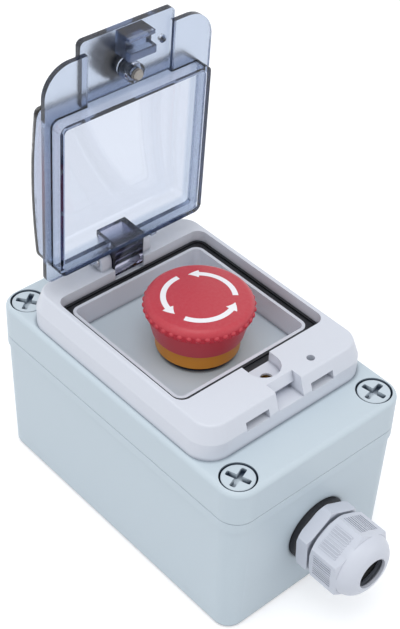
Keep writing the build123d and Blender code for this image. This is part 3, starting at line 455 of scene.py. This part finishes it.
smokedFinishes = {
    "smokedCover": {
        **smoked, "clear": (0.905, 0.915, 0.94, 1.0), "matt": (0.77, 0.82, 0.89, 1.0),
        "polish": 0.03, "mattRoughness": 0.2, "relief": 0.03,
        "smoke": (0.50, 0.57, 0.70, 1.0), "density": 330.0,
    },
    "smokedClip": {
        **smoked, "clear": (0.79, 0.80, 0.90, 1.0), "matt": (0.71, 0.72, 0.82, 1.0),
        "polish": 0.10, "mattRoughness": 0.16, "relief": 0.05,
        "smoke": (0.45, 0.45, 0.56, 1.0), "density": 540.0,
    },
}
nodesIn = {
    "boxPlastic": ["base_box", "lid"],
    "screwPlastic": ["lid_screws"],
    "framePlastic": ["cover_frame"],
    "glandPlastic": ["gland_body", "gland_locknut", "gland_dome_nut", "gland_claw"],
    "redPlastic": ["mushroom_head"],
    "orangePlastic": ["base_ring"],
    "darkPlastic": ["latch_knob", "latch_retainer"],
    "blackPlastic": ["operator_barrel", "mounting_nut", "push_stem", "contact_holder", "contact_base",
                     "contact_plunger"],
    "contactRed": ["contact_block"],
    "sealRubber": ["lid_gasket", "frame_seal", "cover_gasket", "panel_seal", "gland_washer", "latch_washer"],
    "boreRubber": ["gland_grommet"],
    "brassMetal": ["screw_inserts", "latch_insert", "fixed_contacts", "moving_contact"],
    "steelMetal": ["frame_screws", "hinge_pin", "head_spring", "contact_spring", "terminal_screws"],
    "studMetal": ["latch_stud"],
    "smokedCover": ["clear_cover"],
    "smokedClip": ["hinge_clip"],
}


def newPaint(name, group, values):
    # a material whose colour and gloss come from a shared effect
    paint = bpy.data.materials.new(name)
    paint.use_nodes = True
    tree = paint.node_tree
    shader = tree.nodes["Principled BSDF"]
    shade = tree.nodes.new("ShaderNodeGroup")
    shade.node_tree = group
    for label, value in values.items():
        shade.inputs[label].default_value = value
    feed(tree, shader.inputs["Base Color"], shade.outputs["Color"])
    feed(tree, shader.inputs["Roughness"], shade.outputs["Roughness"])
    return paint, tree, shader


def addRelief(tree, shader, look):
    skin = tree.nodes.new("ShaderNodeGroup")
    skin.node_tree = mouldedSkin
    for label, key in (("Scale", "grainScale"), ("Grain", "grain"), ("Ripple", "ripple")):
        skin.inputs[label].default_value = look[key]
    bump = tree.nodes.new("ShaderNodeBump")
    bump.inputs["Strength"].default_value = look["relief"]
    bump.inputs["Distance"].default_value = look["reliefDepth"] * mm
    feed(tree, bump.inputs["Height"], skin.outputs["Height"])
    feed(tree, shader.inputs["Normal"], bump.outputs["Normal"])


def solidFinish(name, look):
    paint, tree, shader = newPaint(name, toneDustAndShade, {
        "Color": look["colour"], "Drift": look["drift"], "Dust": look["dust"],
        "Roughness": look["roughness"], "Unevenness": look["unevenness"], "Corner Shade": look["cornerShade"],
    })
    shader.inputs["Metallic"].default_value = look["metallic"]
    shader.inputs["IOR"].default_value = look["ior"]
    addRelief(tree, shader, look)
    return paint


def smokedFinish(name, look):
    # tinted at its surfaces, and darker the further light goes inside it
    paint, tree, shader = newPaint(name, smokedTone, {
        "Clear": look["clear"], "Matt": look["matt"],
        "Polish": look["polish"], "Matt Roughness": look["mattRoughness"],
    })
    shader.inputs["IOR"].default_value = look["ior"]
    shader.inputs["Transmission Weight"].default_value = look["transmission"]
    smoke = tree.nodes.new("ShaderNodeVolumeAbsorption")
    smoke.inputs["Color"].default_value = look["smoke"]
    smoke.inputs["Density"].default_value = look["density"]
    feed(tree, tree.nodes["Material Output"].inputs["Volume"], smoke.outputs["Volume"])
    addRelief(tree, shader, look)
    return paint


paints = {name: solidFinish(name, look) for name, look in finishes.items()}
paints.update({name: smokedFinish(name, look) for name, look in smokedFinishes.items()})
for finishName, names in nodesIn.items():
    for name in names:
        for slot in node(name).material_slots:
            slot.material = paints[finishName]
print("finishes set on", sum(map(len, nodesIn.values())), "nodes of", len(frame["nodes"]))


# the printed arrows that show which way the head turns

arrow = {
    "middleRadius": 12.6, "bandWidth": 2.0, "headWidth": 4.3, "centre": (-0.4, -1.0),
    "firstTail": -35.0, "sweep": 84.0, "shoulder": 0.7, "headSweep": 17.0, "count": 3,
    "bandSteps": 28, "headSteps": 6, "tip": 0.03, "clear": 0.03, "film": 0.03, "above": 3.0, "merge": 0.002,
}


def modelArrow(look):
    # a straight edge is spun into the band, then extruded step by step into a head that narrows to its tip
    deselect()
    centre = Vector((look["centre"][0] * mm, look["centre"][1] * mm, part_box("mushroom_head")[1][2]))
    centre.z += look["above"] * mm
    width = look["bandWidth"] * mm
    start = centre + Vector((look["middleRadius"] * mm, width / 2, 0))
    bpy.ops.mesh.primitive_plane_add(size=width, location=start)
    bpy.ops.object.transform_apply(location=True, rotation=False, scale=False)
    band = bpy.context.object
    chooseVerts(band, lambda place: place.y > start.y)
    bpy.ops.mesh.delete(type="VERT")
    bpy.ops.mesh.select_all(action="SELECT")
    sweep = -math.radians(look["sweep"])
    bpy.ops.mesh.spin(steps=look["bandSteps"], angle=sweep, center=centre, axis=(0, 0, 1))
    widths = [look["headWidth"]]
    for step in range(look["headSteps"]):
        widths.append(look["headWidth"] * max(1 - (step + 1) / look["headSteps"], look["tip"]))
    previous = look["bandWidth"]
    for step, wide in enumerate(widths):
        swing = look["shoulder"] if step == 0 else look["headSweep"] / look["headSteps"]
        bpy.ops.mesh.extrude_edges_move()
        bpy.ops.transform.rotate(value=-math.radians(swing), orient_axis="Z", center_override=centre)
        grow = wide / previous
        bpy.ops.transform.resize(value=(grow, grow, 1), center_override=selectedMiddle(band))
        previous = wide
    bpy.ops.mesh.select_all(action="SELECT")
    bpy.ops.mesh.remove_doubles(threshold=look["merge"] * mm)
    bpy.ops.mesh.normals_make_consistent(inside=False)
    bpy.ops.object.mode_set(mode="OBJECT")
    return band, centre


def printArrows(look):
    # each copy is turned to its place, laid on the head's face and given a film's thickness
    pattern, centre = modelArrow(look)
    for index in range(look["count"]):
        piece = copyPiece(pattern, "rotationArrow" + str(index + 1))
        takeUp(piece)
        editAll()
        swing = look["firstTail"] + 360 / look["count"] * index
        bpy.ops.transform.rotate(value=-math.radians(swing), orient_axis="Z", center_override=centre)
        bpy.ops.object.mode_set(mode="OBJECT")
        wrap = piece.modifiers.new("onFace", "SHRINKWRAP")
        wrap.target = node("mushroom_head")
        wrap.wrap_method = "PROJECT"
        wrap.use_project_z = True
        wrap.use_negative_direction = True
        wrap.use_positive_direction = False
        wrap.offset = look["clear"] * mm
        film = piece.modifiers.new("film", "SOLIDIFY")
        film.thickness = look["film"] * mm
        film.offset = 1.0
        applyAll(piece)
        piece.data.materials.append(paints["arrowPaint"])
        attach(piece, "button_head")
    takeUp(pattern)
    bpy.ops.object.delete()


printArrows(arrow)
print("arrows printed on the head")


# the rolled thread on the latch stud

thread = {
    "root": 1.8, "crest": 2.11, "pitch": 0.8, "land": 0.62, "length": 6.4, "fromTip": 0.55, "steps": 28,
    "smoothTo": 30.0,
}


def latchAxis():
    turn = jointNamed("latch_turn")
    inward = Vector(turn["axis"])
    start = Vector(turn["pos_m"])
    tip = start + inward * ((start.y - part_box("latch_stud")[0].y) / abs(inward.y))
    return tip, inward


def rollThread(look):
    # one flank profile beside the axis, wound up by a screw, then laid along the stud
    deselect()
    tip, inward = latchAxis()
    height = (look["crest"] - look["root"]) * mm
    middle = Vector(((look["crest"] + look["root"]) / 2 * mm, 0, 0))
    bpy.ops.mesh.primitive_plane_add(size=height, location=middle, rotation=(math.radians(90), 0, 0))
    bpy.ops.object.transform_apply(location=True, rotation=True, scale=True)
    ridge = bpy.context.object
    ridge.name = "studThread"
    chooseVerts(ridge, lambda place: place.x > middle.x)
    bpy.ops.mesh.merge(type="CENTER")
    chooseVerts(ridge, lambda place: place.x < middle.x)
    bpy.ops.transform.resize(value=(1, 1, look["land"] * mm / height), center_override=middle)
    bpy.ops.mesh.select_all(action="SELECT")
    bpy.ops.mesh.delete(type="ONLY_FACE")
    bpy.ops.object.mode_set(mode="OBJECT")
    wind = ridge.modifiers.new("wind", "SCREW")
    wind.axis = "Z"
    wind.steps = look["steps"]
    wind.render_steps = look["steps"]
    wind.screw_offset = look["pitch"] * mm
    wind.iterations = int(look["length"] / look["pitch"])
    applyAll(ridge)
    editAll()
    bpy.ops.mesh.fill_holes(sides=0)
    bpy.ops.mesh.select_all(action="SELECT")
    bpy.ops.mesh.normals_make_consistent(inside=False)
    bpy.ops.object.mode_set(mode="OBJECT")
    lie = (-inward).to_track_quat("Z", "Y").to_matrix().to_4x4()
    ridge.matrix_world = Matrix.Translation(tip - inward * look["fromTip"] * mm) @ lie
    bpy.ops.object.transform_apply(location=True, rotation=True, scale=True)
    bpy.ops.object.shade_smooth_by_angle(angle=math.radians(look["smoothTo"]))
    ridge.data.materials.append(paints["studMetal"])
    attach(ridge, "latch_screw")


rollThread(thread)
print("thread rolled on the latch stud")


# the grip ribs on the middle of each flat of the gland's nut, where the solid is round

grip = {
    "flats": 6, "firstAngle": 63.5, "middleRadius": 12.3, "stand": 0.62, "pitch": 1.15, "width": 0.5,
    "fromBase": 2.0, "length": 8.0, "bevel": 0.12, "bevelSteps": 2, "perFlat": 3,
}


def shapeRib(look, axis):
    deselect()
    middle = (look["fromBase"] + look["length"] / 2) * mm
    bpy.ops.mesh.primitive_cube_add(size=1, location=axis + Vector((look["middleRadius"] * mm, -middle, 0)))
    rib = bpy.context.object
    rib.scale = (look["stand"] * mm, look["length"] * mm, look["width"] * mm)
    bpy.ops.object.transform_apply(location=True, rotation=True, scale=True)
    editAll()
    bpy.ops.mesh.bevel(offset=look["bevel"] * mm, segments=look["bevelSteps"])
    bpy.ops.object.mode_set(mode="OBJECT")
    return rib


def ribTheNut(look):
    # one rib is shaped, then copied to every place round the nut's axis, and the copies are joined
    turn = jointNamed("gland_turn")
    axis = Vector((turn["pos_m"][0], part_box("gland_dome_nut")[1].y, turn["pos_m"][2]))
    pattern = shapeRib(look, axis)
    ribs = []
    for flat in range(look["flats"]):
        for count in range(look["perFlat"]):
            rib = copyPiece(pattern, "nutGripRibs")
            takeUp(rib)
            editAll()
            aside = (count - (look["perFlat"] - 1) / 2) * look["pitch"] * mm
            bpy.ops.transform.translate(value=(0, 0, aside))
            angle = math.radians(look["firstAngle"] + 360 / look["flats"] * flat)
            bpy.ops.transform.rotate(value=angle, orient_axis="Y", center_override=axis)
            ribs.append(rib)
    takeUp(pattern)
    bpy.ops.object.delete()
    takeUp(ribs[0])
    for rib in ribs:
        rib.select_set(True)
    bpy.ops.object.join()
    ribs[0].data.materials.append(paints["glandPlastic"])
    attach(ribs[0], "gland_nut")


ribTheNut(grip)
print("grip ribs set on the nut")


# the hinge clip, with the hollows that its moulding has on its two seen faces

clipHollows = {
    "rim": 1.2, "depth": 0.9, "square": 0.98, "smallest": 12.0, "outermost": 0.5,
    "merge": 0.005, "flatTo": 1.0, "smoothTo": 30.0,
}


def hollowClip(look):
    # one seen face looks the way that the inside of the open dome does, and the other along the cover
    clip = copyPiece(node("hinge_clip"), "hollowHingeClip")
    takeUp(clip)
    along, across = coverAxes()
    bpy.ops.object.mode_set(mode="EDIT")
    bpy.ops.mesh.select_mode(type="FACE")
    bpy.ops.mesh.select_all(action="SELECT")
    bpy.ops.mesh.remove_doubles(threshold=look["merge"] * mm)
    bpy.ops.mesh.dissolve_limited(angle_limit=math.radians(look["flatTo"]))
    for side in (-across, along):
        bpy.ops.mesh.select_all(action="DESELECT")
        bpy.ops.object.mode_set(mode="OBJECT")
        facing = [face for face in clip.data.polygons
                  if face.normal.dot(side) > look["square"] and face.area > look["smallest"] * mm * mm]
        outer = max((face.center.dot(side) for face in facing), default=0)
        for face in facing:
            face.select = face.center.dot(side) > outer - look["outermost"] * mm
        bpy.ops.object.mode_set(mode="EDIT")
        bpy.ops.mesh.inset(thickness=look["rim"] * mm, depth=-look["depth"] * mm)
    bpy.ops.object.mode_set(mode="OBJECT")
    bpy.ops.object.shade_smooth_by_angle(angle=math.radians(look["smoothTo"]))
    clip.data.materials.clear()
    clip.data.materials.append(paints["smokedClip"])
    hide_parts("hinge_clip")
    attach(clip, "cover")


hollowClip(clipHollows)
print("hinge clip hollowed")


# the two springs, which shorten as the head goes down

springs = {"merge": 0.002, "smoothTo": 40.0}


def shortenSpring(spring, look):
    wire = copyPiece(node(spring["node"]), spring["node"] + "Wire")
    takeUp(wire)
    editAll()
    bpy.ops.mesh.remove_doubles(threshold=look["merge"] * mm)
    bpy.ops.object.mode_set(mode="OBJECT")
    bpy.ops.object.shade_smooth_by_angle(angle=math.radians(look["smoothTo"]))
    wire.data.materials.clear()
    wire.data.materials.append(paints["steelMetal"])
    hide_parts(spring["node"])
    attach(wire, "enclosure")
    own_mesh(wire)


for joint in frame["record"]["behaviour"]["joints"]:
    for spring in joint.get("deforming_nodes", []):
        shortenSpring(spring, springs)
